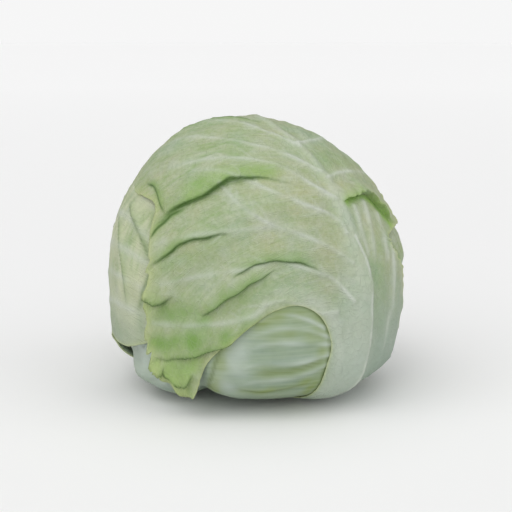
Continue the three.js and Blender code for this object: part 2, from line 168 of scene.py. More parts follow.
# Greener strokes: share, half width, line
FRONT_TINTS = [
    (0.85, 11, [(-64, -20), (-50, -23), (-30, -27)]),
    (1.0, 7, [(-62, -41), (-40, -37), (-20, -33), (-6, -26)]),
    (0.45, 6, [(-30, -25), (-14, -14), (4, -4)]),
    (0.35, 6, [(-60, 3), (-40, 12), (-20, 17)]),
    (0.55, 6, [(-36, 50), (-18, 58), (0, 61), (12, 61)]),
    (0.60, 16, [(-46, -56), (-40, -74)]),
    (0.35, 9, [(52, 78), (66, 84), (84, 88)]),
    (0.35, 12, [(78, 16), (82, -10), (84, -30)]),
]

# Bright green in the lip's hollow, on the loose corner and above a crease, partly the leaf's fresh green and
# partly painted light shining through the thin leaf: share, half width, line
FRONT_FRESH_GREEN_AND_GLOW = [
    (0.8, 4.0, [(58, 46), (66, 51), (74, 53), (82, 52), (92, 46), (104, 38)]),
    (0.35, 5.0, [(-60, -54), (-50, -58), (-40, -56), (-34, -48)]),
    (0.3, 7.0, [(-50, -52), (-44, -64), (-40, -74)]),
    (0.25, 5.0, [(-36, 50), (-18, 58), (0, 61), (12, 61)]),
]

FRONT_RIB = {"height": 3.4, "base": 17, "tip": 3, "sharpness": 2.5}
RIB_PALE = 0.45
PIT = {"depth": 0.7, "width": 1.3}
RIB_PITS = [(55, 28), (57, 18), (59, 11), (58, 0), (60, -14), (57, -30)]

FLAP = {"middle": (-45, -46), "across": 20, "slope": 0.12, "crumple": 3.4, "fade": 12}

# Stretches of the front leaf's edges, from stalk to tip: where each starts, is whole, falls off and ends
LOOSE_MARGIN = (0.47, 0.52, 0.6, 0.66)
FRILLED_LEFT = (0.42, 0.5, 0.58, 0.66)
FRILLED_LIP = (0.56, 0.62, 0.7, 0.85)
FRILLED_BELOW_LIP = (0.26, 0.32, 0.48, 0.54)
HUGS_UP_TO = (0.29, 0.4)
HUGS_FROM = (0.62, 0.7)
FRILL_HEIGHT = 1.6
BELOW_LIP_SHARE = 0.8
RAGGED = {"tight": 0.008, "loose": 0.03}

# Where the waxy bloom starts and is whole, and where the fibres of the left half end at the midrib
FRONT_BLOOM = {"y": (26, -60), "x": (12, 52)}
WRAPPER_BLOOM_Y = (10, -70)
FIBRES_END = (-0.12, 0.04)

# The other outer leaves share one outline: half of it, from the stalk to the tip

WRAPPER_ROWS = [
    # midrib, edge, bow, edge of a half that is cut away beside the stalk
    (-122, (18, -120), 0, (10, -122)),
    (-84, (40, -90), 2, (13, -82)),
    (-54, (56, -70), 6, (17, -50)),
    (-38, (68, -56), 8, (34, -39)),
    (-24, (80, -43), 10, (64, -42)),
    (-8, (94, -26), 12, (90, -32)),
    (12, (106, 0), 12, (106, 0)),
    (34, (104, 34), 10, (104, 34)),
    (56, (84, 66), 6, (84, 66)),
    (76, (46, 92), 2, (46, 92)),
    (100, (12, 101), 0, (12, 101)),
]
WRAPPER_WAVE = {"height": 3, "turn": 1.9}
WRAPPER_RIB = {"height": 3, "base": 16, "tip": 3, "sharpness": 2.5}
WRAPPER_VEIN_STARTS = (-34, -16, 2, 20, 40, 62)
WRAPPER_VEIN = {"height": 0.6, "width": 2.4, "reach": 96, "taper": 0.7}
WRAPPER_EDGE = {"ragged": 0.012, "lift": 1.2}
WRAPPER_SWELLING = 0.6
FULL_RELIEF = 0.55

WRAPPERS = [
    {
        "name": "leaf_back", "layer": 1, "longitude": 186, "latitude": 6, "width": 0.86, "dome": 2.5,
        "phase": 1.3, "notched": False, "exposed": ((0, -8), (96, 84)),
        "folds": [
            (2.6, 18, 1.6, 0.6, [(-76, 18), (-54, 32), (-32, 37), (-6, 32)]),
            (1.8, 14, 1.2, 0.5, [(8, 0), (30, 12), (54, 14), (82, 2)]),
            (2.0, 14, 1.2, 0.5, [(-84, -22), (-58, -6), (-36, -1), (-16, -6)]),
            (1.6, 14, 1.2, 0.5, [(16, 38), (34, 45), (52, 42), (70, 30)]),
            (1.4, 12, 1.0, 0.4, [(20, -26), (40, -16), (60, -18)]),
            (1.2, 10, 0.8, 0.4, [(-50, 12), (-36, 16), (-20, 14)]),
        ],
    },
    {
        "name": "leaf_left", "layer": 0, "longitude": -98, "latitude": 4, "width": 0.94, "dome": 4.0,
        "wan": 0.7, "phase": 2.1, "notched": True, "exposed": ((26, 0), (64, 80)),
        "folds": [
            (1.6, 10, 1.2, 0.8, [(40, 48), (52, 42), (64, 36), (75, 27), (88, 14)]),
            (1.2, 9, 1.0, 0.6, [(28, 40), (42, 30), (56, 17), (64, 1), (67, -18)]),
            (1.4, 9, 1.0, 0.6, [(86, 16), (81, -2), (76, -18)]),
        ],
    },
    {
        "name": "leaf_right", "layer": 0, "longitude": 116, "latitude": 4, "width": 0.9, "dome": 3.2,
        "phase": 4.4, "notched": False, "exposed": ((-26, -8), (40, 62)),
        "tints": [(1.6, 8, [(-74, 36), (-66, 16), (-59, 3), (-50, -12)])],
        "folds": [
            (2.5, 16, 1.6, 0.8, [(-48, 2), (-34, 10), (-18, 12), (-4, 6)]),
            # No height: a painted dark line, the shadow of the front leaf's edge on this leaf
            (0.0, 6, 0.0, 0.0, [(-56, -10), (-64, 2), (-70, 13), (-72, 26), (-72, 40)]),
        ],
    },
]

# The inner head: swells where the leaves leave it bare, shallow ribs, and lines drawn as on the front leaf

HEAD_SWELLS = [
    {"height": 4.9, "longitude": 8, "latitude": -24, "flat": 36, "radius": 56},
    {"height": 8.0, "longitude": -60, "latitude": -45, "flat": 14, "radius": 32},
]
HEAD_RIBS = {"count": 9, "height": 1.2, "latitude": -40, "spread": 26}
HEAD_VEINS = [
    (0.8, 1.5, [(44, -36), (30, -31), (14, -29), (-2, -33)]),
    (0.9, 1.6, [(44, -40), (24, -38), (6, -38), (-10, -44), (-24, -54)]),
    (0.9, 1.6, [(44, -46), (22, -50), (2, -49), (-16, -56), (-28, -64)]),
    (0.8, 1.5, [(42, -52), (20, -58), (0, -60), (-18, -68)]),
    (0.7, 1.4, [(40, -30), (28, -24), (14, -21), (2, -24)]),
]
HEAD_PALES = [
    (1.0, 22, [(-86, -56), (-72, -62), (-56, -68)]),
    (0.8, 10, [(-10, -42), (-14, -52), (-16, -64)]),
]
HEAD_FOLDS = [
    (1.0, 8, 0.8, 0.6, [(44, -48), (28, -53), (12, -55), (-6, -56)]),
    (0.6, 6, 0.5, 0.5, [(-12, -67), (4, -69), (18, -67), (30, -63)]),
    # No height: a painted dark line, the shadow beside the loose corner's edge
    (0.0, 6, 0.0, 0.0, [(-14, -32), (-20, -42), (-24, -54), (-29, -70), (-34, -84)]),
    # No height: a painted dark line of shade in the gap along the front leaf's stalk
    (0.0, 6, 0.0, 0.0, [(27, -98), (35, -80), (40, -58), (43, -43), (41, -31), (34, -21), (22, -16)]),
]
HEAD_STREAKS_AND_SHADE = [
    (1.0, 4, [(-8, -68), (4, -69), (20, -66), (32, -62)]),
    (1.0, 6, [(2, -26), (12, -21), (26, -20), (36, -26)]),
    # Painted shade in the gap along the front leaf's stalk
    (1.0, 4.5, [(31, -82), (36, -62), (39, -48), (39, -36), (35, -27)]),
    (0.5, 6, [(40, -38), (26, -33), (10, -34)]),
    (0.4, 4, [(36, -54), (20, -54), (6, -54)]),
    # Painted shadow beside the loose corner
    (1.3, 5, [(-18, -42), (-21, -54), (-26, -70)]),
]

HEAD_WRINKLES = {"middle": (-72, -60), "spread": 26, "height": 1.6}
HEAD_BUMPS = {"broad": 0.5, "fine": 0.25}

STUMP_RADIUS = 17
STUMP_TOP = 7.2
STUMP_SIDES = 64
STUMP_BEVEL = 1.0
STUMP_RING = {"width": 2.6, "depth": 0.25, "pairs": 2}

# How far below its line a fold has fallen off, and how much painted crease shade, dark and green, it has
FRONT_DROP = 1.0
WRAPPER_DROP = 1.8
WRAPPER_CREASE_SHADE = 0.5
HEAD_DROP = 1.2
HEAD_CREASE_SHADE = 0.7

HUG_DEPTH = 0.9
FLOOR_GAP = 0.5  # the least height of a leaf above the surface below it

# Powers of the share from midrib to edge: the higher, the nearer the edge
HUG_POWER = 6
FRILL_POWER = 12
THIN_POWER = 16
RIM_POWER = 24

# Uneven fields: cells across and up in millimetres, and a seed
FIELDS = {
    "wobble": (8, 8, 0.3),
    "crimp": (3, 6, 6.1),
    "fading": (13, 13, 5.2),
    "wan": (6, 22, 12.4),
    "crumple": (9, 14, 11.3),
    "across": (24, 9, 1.5),
    "across_fine": (10, 5, 2.5),
    "down": (7, 26, 3.5),
    "down_fine": (4, 12, 4.5),
    "rounded": (40, 15, 8.5),
    "head": (26, 8, 9.5),
    "head_fine": (12, 3, 14.2),
    "head_wrinkles": (9, 6, 13.1),
}

LINE_STEPS = 32
FRONT_GRID = {"left": 116, "right": 66}
WRAPPER_GRID = {"left": 84, "right": 84}
WRAPPER_STEPS = [14] * 10
HEAD_GRID = {"around": 400, "up": 220}


# Shapes of curves

def smoothstep(low, high, value):
    t = np.clip((value - low) / (high - low), 0, 1)
    return t * t * (3 - 2 * t)


def stretch(value, start, whole, leave, end):
    """A share that rises from start to whole and falls from leave to end."""
    return smoothstep(start, whole, value) * (1 - smoothstep(leave, end, value))


def bell(distance, width):
    return np.exp(-((distance / width) ** 2))


def spline(points, places):
    """A smooth curve through points. Places count from 0 at the first point to 1 less than their number."""
    points = np.array(points, float)
    last = len(points) - 1
    i = np.minimum(places.astype(int), last - 1)
    w = (places - i)[:, None]
    before, here = points[np.maximum(i - 1, 0)], points[i]
    after, beyond = points[i + 1], points[np.minimum(i + 2, last)]
    leave, arrive = (after - before) / 2, (beyond - here) / 2
    cubic = 2 * here - 2 * after + leave + arrive
    square = 3 * after - 3 * here - 2 * leave - arrive
    return ((cubic * w + square) * w + leave) * w + here


def drawn_line(points, steps=LINE_STEPS):
    return spline(points, np.linspace(0, len(points) - 1, steps + 1))


def noise_field(x, y, cell_x, cell_y, seed):
    """Smooth bumps from -1 to 1, as large as the cells, and the same in each run."""
    places = zip((x / cell_x).ravel(), (y / cell_y).ravel())
    return np.array([noise.noise(Vector((u, v, seed))) for u, v in places]).reshape(x.shape)


def field(x, y, name):
    return noise_field(x, y, *FIELDS[name])


class Nearest:
    """The nearest place on a drawn line: how far off it a point lies, and how far along that is."""

    def __init__(self, points, x, y, steps=LINE_STEPS):
        line = drawn_line(points, steps)
        self.distance = np.full(x.shape, np.inf)
        self.offset = np.zeros(x.shape)  # positive on the line's left
        self.along = np.zeros(x.shape)
        self.left = np.zeros(x.shape + (2,))
        for i in range(len(line) - 1):
            self._meet(line[i], line[i + 1] - line[i], i, len(line) - 1, x, y)

    def _meet(self, start, step, index, count, x, y):
        length = math.hypot(*step)
        away_x, away_y = x - start[0], y - start[1]
        share = np.clip((away_x * step[0] + away_y * step[1]) / length**2, 0, 1)
        distance = np.hypot(away_x - share * step[0], away_y - share * step[1])
        closer = distance < self.distance
        side = np.sign(step[0] * away_y - step[1] * away_x)
        self.distance = np.where(closer, distance, self.distance)
        self.offset = np.where(closer, side * distance, self.offset)
        self.along = np.where(closer, (index + share) / count, self.along)
        self.left = np.where(closer[..., None], (-step[1] / length, step[0] / length), self.left)


# The head's round surface

def directions(longitude, latitude):
    lon, lat = np.radians(longitude), np.radians(latitude)
    return np.stack([np.sin(lon) * np.cos(lat), -np.cos(lon) * np.cos(lat), np.sin(lat)], -1)


def outer_radius(direction):
    across = np.hypot(direction[..., 0], direction[..., 1]) / HALF_WIDTH
    up = direction[..., 2]
    height, power = np.where(up > 0, CROWN, KEEL), np.where(up > 0, CROWN_POWER, KEEL_POWER)
    return (across**power + (np.abs(up) / height) ** power) ** (-1 / power)


def surface_points(direction, radius):
    """Points in metres, with the crown leaning to the left."""
    points = direction * radius[..., None]
    points[..., 0] -= LEAN * (np.maximum(points[..., 2], 0) / CROWN) ** 2
    points[..., 2] += MIDDLE_HEIGHT
    return points * MM


def latitude_of(direction):
    return np.degrees(np.arcsin(np.clip(direction[..., 2], -1, 1)))


def underside_fade(direction):
    return smoothstep(*RELIEF_FADES, latitude_of(direction))


def wrap(longitude, latitude, x, y):
    """Directions of a drawing's points on the head: distances and bearings from its middle stay true."""
    middle = directions(longitude, latitude)
    east = directions(longitude + 90, 0)
    north = np.cross(middle, east)
    distance = np.maximum(np.hypot(x, y), 1e-9)
    angle = distance / DRAWING_RADIUS
    sideways = np.sin(angle) / distance
    return (
        np.cos(angle)[..., None] * middle
        + (sideways * x)[..., None] * east
        + (sideways * y)[..., None] * north
    )


# A leaf's drawing and its relief

class Drawing:
    """A leaf's points: x, y, share (-1 at the left edge, 1 at the right) and s, from stalk to tip."""

    def __init__(self, rows, steps, grid, ragged):
        last = len(rows) - 1
        s = np.array([i + k / count for i, count in enumerate(steps) for k in range(count)] + [last]) / last
        rib, left, right = (spline([row[k] for row in rows], s * last)[:, None] for k in range(3))
        bow_left, bow_right = (spline([row[k] for row in rows], s * last)[:, None] for k in (3, 4))
        left_share = np.linspace(-1, 0, grid["left"] + 1)
        right_share = np.linspace(0, 1, grid["right"] + 1)[1:]
        share = np.concatenate([left_share, right_share])
        self.share, self.s = np.meshgrid(share, s)
        onleft = self.share < 0
        edge = np.where(onleft[..., None], left, right)
        middle = (rib + edge) / 2 + np.where(onleft[..., None], bow_left, bow_right)
        out = np.abs(self.share)
        out = (out * (1 + ragged(self.share, self.s) * out**12))[..., None]
        flat = (1 - out) ** 2 * rib + 2 * out * (1 - out) * middle + out**2 * edge
        self.x, self.y = flat[..., 0], flat[..., 1]
        self.rib_line = [row[0] for row in rows]


class Relief:
    """What stands out of a leaf: heights in millimetres, sideways shifts, and shares for its colours, among
    them painted shade and painted light.
    """

    def __init__(self, drawing, drop):
        self.drop = drop
        self.x, self.y = drawing.x, drawing.y
        self.height = np.zeros(self.x.shape)
        self.shift = np.zeros(self.x.shape + (2,))
        self.vein = np.zeros(self.x.shape)
        self.crease_shade = np.zeros(self.x.shape)
        self.green = np.zeros(self.x.shape)
        self.fresh_green_and_glow = np.zeros(self.x.shape)
        self.wobble = field(self.x, self.y, "wobble")
        self.crimp = field(self.x, self.y, "crimp")
        self.fading = np.clip(0.8 + 0.8 * field(self.x, self.y, "fading"), 0.3, 1)

    def add_rib(self, rib, line):
        near = Nearest(line, self.x, self.y)
        width = rib["base"] + (rib["tip"] - rib["base"]) * np.minimum(1, near.along * 1.4)
        profile = np.exp(-((near.distance / width) ** rib["sharpness"])) * (1 - 0.75 * near.along)
        self.height += rib["height"] * profile
        pale = RIB_PALE * np.exp(-((near.distance / width) ** 4)) * (1 - 0.3 * near.along)
        self.vein = np.maximum(self.vein, pale)

    def add_vein(self, vein):
        height, width, line = vein
        near = Nearest(line, self.x, self.y)
        self.height += height * (1 - 0.8 * near.along) * bell(near.distance, width)
        pale = 0.75 * bell(near.distance, 0.85 * width) + 0.25 * bell(near.distance, 2.6 * width)
        self.vein = np.maximum(self.vein, (1 - 0.5 * near.along) * pale * self.fading)

    def add_branches(self, vein):
        """Finer veins that leave a vein on both sides."""
        line = drawn_line(vein[-1])
        for i, place in enumerate(BRANCH["places"]):
            at = int(place * LINE_STEPS)
            ahead = math.atan2(*(line[at + 1] - line[at])[::-1])
            for side in (-1, 1):
                self._add_branch(line[at], ahead, side, BRANCH["length"] * (0.7 + 0.1 * ((3 * i + side) % 5)))

    def _add_branch(self, start, ahead, side, length):
        points = [tuple(start)]
        for part in BRANCH["bends"]:
            x, y = points[-1]
            turn = ahead + side * part * BRANCH["turn"]
            step = length / len(BRANCH["bends"])
            points.append((x + step * math.cos(turn), y + step * math.sin(turn)))
        near = Nearest(points, self.x, self.y, 6)
        profile = (1 - near.along) * bell(near.distance, BRANCH["width"])
        self.height += BRANCH["height"] * profile
        self.vein = np.maximum(self.vein, BRANCH["pale"] * profile * self.fading)

    def add_fold(self, fold, crease_shading=1.0, frill=0.1):
        height, reach, overhang, groove, line = fold
        near = Nearest(line, self.x, self.y)
        offset = near.offset + FOLD["wander"] * self.wobble
        ends = stretch(near.along, 0, FOLD["start"], FOLD["end"], 1)
        upper = offset >= 0
        above = (1 + np.cos(np.pi * np.clip(offset / reach, 0, 1))) / 2
        below = smoothstep(-self.drop, 0, offset)
        valley = (1 - below) * np.exp(np.minimum(0, offset + self.drop) / FOLD["valley"])
        self.height += ends * np.where(upper, height * above, height * below - groove * valley)
        lean = np.where(upper, bell(offset, FOLD["lean"]), below)
        self.shift -= (ends * overhang * (1 + frill * self.crimp) * lean)[..., None] * near.left
        beyond = (near.along <= 0) | (near.along >= 1)
        inside = np.where(beyond, 0, ends) * crease_shading
        # Painted shade: a dark line in the groove just below the fold's line
        self.crease_shade = np.maximum(self.crease_shade, inside * bell(offset + 0.5 * self.drop, 0.95 * self.drop))
        # Green along the line: the leaf's greener band above it, painted shade below it
        tint = bell(offset, np.where(upper, FOLD_GREEN_AND_SHADE["above"], FOLD_GREEN_AND_SHADE["below"]))
        self.green = np.maximum(self.green, FOLD_GREEN_AND_SHADE["share"] * inside * tint)

    def add_grooves(self, cell_x, cell_y, turn, seed, where=1.0):
        """Fine wrinkles in patches: thin grooves, drawn out along one direction, with painted green shade in
        them.
        """
        u = self.x * math.cos(turn) + self.y * math.sin(turn)
        v = self.y * math.cos(turn) - self.x * math.sin(turn)
        thin = np.clip(1 - np.abs(noise_field(u, v, cell_x, cell_y, seed)) / GROOVE["width"], 0, 1)
        patches = np.clip(0.35 + 1.6 * noise_field(self.x, self.y, 26, 20, seed + 1), 0, 1)
        share = thin * patches * where
        self.height -= GROOVE["depth"] * share
        # Painted green shade in the grooves
        self.green = np.maximum(self.green, GROOVE["green"] * share)

    def add_pale(self, pale):
        share, width, line = pale
        distance = Nearest(line, self.x, self.y).distance
        self.vein = np.maximum(self.vein, share * bell(distance, width) * self.fading)

    def add_tint(self, tint):
        share, width, line = tint
        distance = Nearest(line, self.x, self.y).distance
        self.green = np.maximum(self.green, share * bell(distance, width) * (0.7 + 0.6 * self.wobble))

    # Bright green, partly the leaf's fresh green and partly painted light shining through the leaf
    def add_fresh_green_and_glow(self, fresh_green_and_glow):
        share, width, line = fresh_green_and_glow
        distance = Nearest(line, self.x, self.y).distance
        self.fresh_green_and_glow = np.maximum(self.fresh_green_and_glow, share * bell(distance, width))


# Pieces

def flat_grid(name, columns, rows):
    bpy.ops.object.select_all(action="DESELECT")
    bpy.ops.mesh.primitive_grid_add(x_subdivisions=columns, y_subdivisions=rows, size=1)
    piece = bpy.context.object
    piece.name = piece.data.name = name
    return piece


def set_points(piece, points):
    piece.data.vertices.foreach_set("co", points.reshape(-1).astype(np.float32))
    piece.data.update()


def store(piece, name, values):
    attribute = piece.data.attributes.new(name, "FLOAT", "POINT")
    attribute.data.foreach_set("value", np.clip(values, 0, 1).reshape(-1).astype(np.float32))


def thicken(piece, thin):
    """Gives a leaf its thickness, down to a share at the points of the thin field that are 1."""
    group = piece.vertex_groups.new(name="thickness")
    for index, value in enumerate(np.clip(1 - thin, 0, 1).reshape(-1)):
        group.add([index], value, "REPLACE")
    solidify = piece.modifiers.new("blade", "SOLIDIFY")
    solidify.thickness = LEAF_THICKNESS * MM
    solidify.offset = -1
    solidify.vertex_group = group.name
    solidify.thickness_vertex_group = EDGE_THICKNESS
    apply_modifiers(piece)
    piece.vertex_groups.clear()


def apply_modifiers(piece):
    bpy.ops.object.select_all(action="DESELECT")
    piece.select_set(True)
    bpy.context.view_layer.objects.active = piece
    for modifier in list(piece.modifiers):
        bpy.ops.object.modifier_apply(modifier=modifier.name)
    bpy.ops.object.shade_smooth()


def place(piece, node, slot, finish):
    piece.data.materials.clear()
    piece.data.materials.append(finish)
    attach(piece, "root")
    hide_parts(node)


def leaf_piece(name, leaf, drawing, relief, bloom, fibres):
    """A leaf wrapped round the head, with the shares that its finish reads."""
    x, y = relief.x + relief.shift[..., 0], relief.y + relief.shift[..., 1]
    direction = wrap(leaf["longitude"], leaf["latitude"], x, y)
    height = relief.height * underside_fade(direction)
    points = surface_points(direction, outer_radius(direction) - leaf["depth"] + height)
    points[..., 2] = np.maximum(points[..., 2], FLOOR_GAP * MM)
    rows, columns = drawing.x.shape
    piece = flat_grid(name, columns - 1, rows - 1)
    set_points(piece, points)
    for share in ("vein", "crease_shade", "green", "fresh_green_and_glow"):
        store(piece, share, getattr(relief, share))
    store(piece, "bloom", bloom)
    store(piece, "fibres", fibres)
    streaks = 0.75 + 0.9 * field(drawing.x, drawing.y, "wan")
    store(piece, "wan", leaf.get("wan", 0) * streaks)
    store(piece, "edge", np.abs(drawing.share) ** RIM_POWER)
    thicken(piece, np.abs(drawing.share) ** THIN_POWER)
    return piece


def front_leaf():
    def ragged(share, s):
        loose = stretch(s, *LOOSE_MARGIN)
        return (RAGGED["tight"] + RAGGED["loose"] * loose) * noise_field(share, s, 5, 0.009, 3.1)

    drawing = Drawing(FRONT_ROWS, FRONT_STEPS, FRONT_GRID, ragged)
    x, y, share, s = drawing.x, drawing.y, drawing.share, drawing.s
    relief = Relief(drawing, FRONT_DROP)
    relief.add_rib(FRONT_RIB, drawing.rib_line)
    for vein in FRONT_VEINS:
        relief.add_vein(vein)
    for vein in FRONT_VEINS[:BRANCHED_VEINS]:
        relief.add_branches(vein)
    for fold in FRONT_FOLDS:
        relief.add_fold(fold)
    relief.add_fold(LIP, **LIP_LOOK)
    relief.add_fold(RIB_STEP, crease_shading=RIB_STEP_SHADE)
    for pale in FRONT_PALES:
        relief.add_pale(pale)
    for tint in FRONT_TINTS:
        relief.add_tint(tint)
    for fresh_green_and_glow in FRONT_FRESH_GREEN_AND_GLOW:
        relief.add_fresh_green_and_glow(fresh_green_and_glow)
    relief.add_grooves(**FRONT_GROOVES, where=smoothstep(*GROOVED_X, x))
    relief.height += flap_height(x, y) + blisters(x, y, share)
    close = hugging(share, s)
    relief.height = relief.height * (1 - close) - HUG_DEPTH * close + frill_height(share, s)
    for pit_x, pit_y in RIB_PITS:
        relief.height -= PIT["depth"] * bell(np.hypot(x - pit_x, y - pit_y), PIT["width"])
    bloom = smoothstep(*FRONT_BLOOM["y"], y) * smoothstep(*FRONT_BLOOM["x"], x)
    leaf = {**FRONT_MIDDLE, "depth": 0}
    fibres = 1 - smoothstep(*FIBRES_END, share)
    return leaf_piece("leaf_front_blade", leaf, drawing, relief, bloom, fibres)


def hugging(share, s):
    """Where the left edge lies close on the leaves below it: beside the stalk, and above the loose margin."""
    beside = np.maximum(1 - smoothstep(*HUGS_UP_TO, s), smoothstep(*HUGS_FROM, s))
    return np.where(share < 0, beside * np.abs(share) ** HUG_POWER, 0)


def flap_height(x, y):
    """The loose corner leans out below its fold, and is crumpled."""
    below = np.maximum(0, FLAP["middle"][1] - y) * bell(x - FLAP["middle"][0], FLAP["across"])
    crumple = 1 - 2 * np.abs(field(x, y, "crumple"))
    return FLAP["slope"] * below + FLAP["crumple"] * crumple * smoothstep(0, FLAP["fade"], below)


def frill_height(share, s):
    """Waves along the left edge above its corner, and along the right edge at its lip and below it."""
    waves = 1 + noise_field(share, s, 4, 0.012, 7.7)
    left = stretch(s, *FRILLED_LEFT)
    right = stretch(s, *FRILLED_LIP) + BELOW_LIP_SHARE * stretch(s, *FRILLED_BELOW_LIP)
    return FRILL_HEIGHT * waves * np.where(share < 0, left, right) * np.abs(share) ** FRILL_POWER


def blisters(x, y, share):
    """Low swellings between the veins, along them: across the left half, and down the right half."""
    across = field(x, y, "across") + 0.5 * field(x, y, "across_fine")
    down = field(x, y, "down") + 0.4 * field(x, y, "down_fine")
    mixed = across + (down - across) * smoothstep(0.02, 0.2, share)
    rounded = smoothstep(78, 100, x) * field(x, y, "rounded")
    return 0.8 * mixed + 2.0 * rounded


def wrapper_rows(leaf):
    rows = []
    for i, (rib, edge, bow, notch) in enumerate(WRAPPER_ROWS):
        wave = WRAPPER_WAVE["height"] * math.sin(WRAPPER_WAVE["turn"] * i + leaf["phase"])
        right = notch if leaf["notched"] else edge
        width = leaf["width"]
        left, right = (-edge[0] * width - wave, edge[1]), (right[0] * width - wave, right[1])
        rows.append(((0, rib), left, right, (0, bow), (0, bow)))
    return rows


def wrapper_veins(leaf):
    veins = []
    for side in (-1, 1):
        for start in WRAPPER_VEIN_STARTS:
            end = side * leaf["width"] * (WRAPPER_VEIN["reach"] - WRAPPER_VEIN["taper"] * max(0, start))
            line = [(0, start), (0.3 * end, start + 14), (0.65 * end, start + 18), (end, start + 12)]
            veins.append((WRAPPER_VEIN["height"], WRAPPER_VEIN["width"], line))
    return veins


def wrapper_leaf(leaf):
    def ragged(share, s):
        return WRAPPER_EDGE["ragged"] * noise_field(share, s, 5, 0.02, leaf["phase"])

    drawing = Drawing(wrapper_rows(leaf), WRAPPER_STEPS, WRAPPER_GRID, ragged)
    x, y, share, s = drawing.x, drawing.y, drawing.share, drawing.s
    relief = Relief(drawing, WRAPPER_DROP)
    relief.add_rib(WRAPPER_RIB, drawing.rib_line)
    for vein in wrapper_veins(leaf):
        relief.add_vein(vein)
    for fold in leaf["folds"]:
        relief.add_fold(fold, crease_shading=WRAPPER_CREASE_SHADE)
    for tint in leaf.get("tints", ()):
        relief.add_tint(tint)
    relief.add_grooves(**WRAPPER_GROOVES)
    waves = 1 + noise_field(share, s, 4, 0.05, leaf["phase"] + 2)
    relief.height += WRAPPER_EDGE["lift"] * np.abs(share) ** HUG_POWER * waves
    relief.height += WRAPPER_SWELLING * (1 + noise_field(x, y, 20, 9, leaf["phase"] + 5))
    (middle_x, middle_y), (radius_x, radius_y) = leaf["exposed"]
    away = np.hypot((x - middle_x) / radius_x, (y - middle_y) / radius_y)
    bare = 1 - smoothstep(FULL_RELIEF, 1, away)
    relief.height = bare * (leaf["dome"] + relief.height)
    relief.shift *= bare[..., None]
    leaf = {**leaf, "depth": (2 - leaf["layer"]) * LEAF_PITCH}
    bloom = smoothstep(*WRAPPER_BLOOM_Y, y)
    return leaf_piece(leaf["name"] + "_blade", leaf, drawing, relief, bloom, np.ones(x.shape))


def inner_head():
    bpy.ops.object.select_all(action="DESELECT")
    bpy.ops.mesh.primitive_uv_sphere_add(segments=HEAD_GRID["around"], ring_count=HEAD_GRID["up"], radius=1)
    piece = bpy.context.object
    piece.name = piece.data.name = "inner_head_leaves"
    count = len(piece.data.vertices)
    direction = np.zeros(count * 3, np.float32)
    piece.data.vertices.foreach_get("co", direction)
    direction = direction.reshape(-1, 3).astype(float)
    direction /= np.linalg.norm(direction, axis=1)[:, None]
    x, y = front_drawing(direction)
    relief = Relief(Flat(x, y), HEAD_DROP)
    for vein in HEAD_VEINS:
        relief.add_vein(vein)
    for fold in HEAD_FOLDS:
        relief.add_fold(fold, crease_shading=HEAD_CREASE_SHADE)
    for pale in HEAD_PALES:
        relief.add_pale(pale)
    for streak in HEAD_STREAKS_AND_SHADE:
        relief.add_tint(streak)
    swell = sum(head_swell(direction, part) for part in HEAD_SWELLS)
    ribs = head_ribs(direction) * (1 - np.minimum(1, swell / HEAD_SWELLS[0]["height"]))
    height = swell + ribs + (relief.height + head_bumps(x, y)) * underside_fade(direction)
    set_points(piece, surface_points(direction, outer_radius(direction) - HEAD_INSET + height))
    for share in ("vein", "green", "crease_shade"):
        store(piece, share, getattr(relief, share))
    bpy.ops.object.shade_smooth()
    return piece


class Flat:
    """Points of a drawing with no rows."""

    def __init__(self, x, y):
        self.x, self.y = x, y


def front_drawing(direction):
    """Where a direction lies in the front leaf's drawing."""
    middle = directions(**FRONT_MIDDLE)
    east = directions(FRONT_MIDDLE["longitude"] + 90, 0)
    north = np.cross(middle, east)
    angle = np.arccos(np.clip(direction @ middle, -1, 1))
    right, up = direction @ east, direction @ north
    scale = DRAWING_RADIUS * angle / np.maximum(np.hypot(right, up), 1e-9)
    return right * scale, up * scale


def head_bumps(x, y):
    """Low bumps all over the head, and wrinkles at its lower left."""
    middle_x, middle_y = HEAD_WRINKLES["middle"]
    near = bell(np.hypot(x - middle_x, y - middle_y), HEAD_WRINKLES["spread"])
    wrinkles = near * (1 - 2 * np.abs(field(x, y, "head_wrinkles")))
    bumps = HEAD_BUMPS["broad"] * field(x, y, "head") + HEAD_BUMPS["fine"] * field(x, y, "head_fine")
    return bumps + HEAD_WRINKLES["height"] * wrinkles


def head_swell(direction, swell):
    middle = directions(swell["longitude"], swell["latitude"])
    away = DRAWING_RADIUS * np.arccos(np.clip(direction @ middle, -1, 1))
    return swell["height"] * (1 - smoothstep(swell["flat"], swell["radius"], away))


def head_ribs(direction):
    longitude = np.arctan2(direction[:, 0], -direction[:, 1])
    low = bell(latitude_of(direction) - HEAD_RIBS["latitude"], HEAD_RIBS["spread"])
    groove = (1 - np.cos(HEAD_RIBS["count"] * longitude)) / 2
    return -HEAD_RIBS["height"] * low * groove * underside_fade(direction)


def select_underside(piece):
    """Selects the faces that point straight down, and leaves the piece in edit mode."""
    bpy.ops.object.mode_set(mode="EDIT")
    bpy.ops.mesh.select_mode(type="FACE")
    bpy.ops.mesh.select_all(action="DESELECT")
    bpy.ops.object.mode_set(mode="OBJECT")
    for face in piece.data.polygons:
        face.select = face.normal.z < -0.99
    bpy.ops.object.mode_set(mode="EDIT")


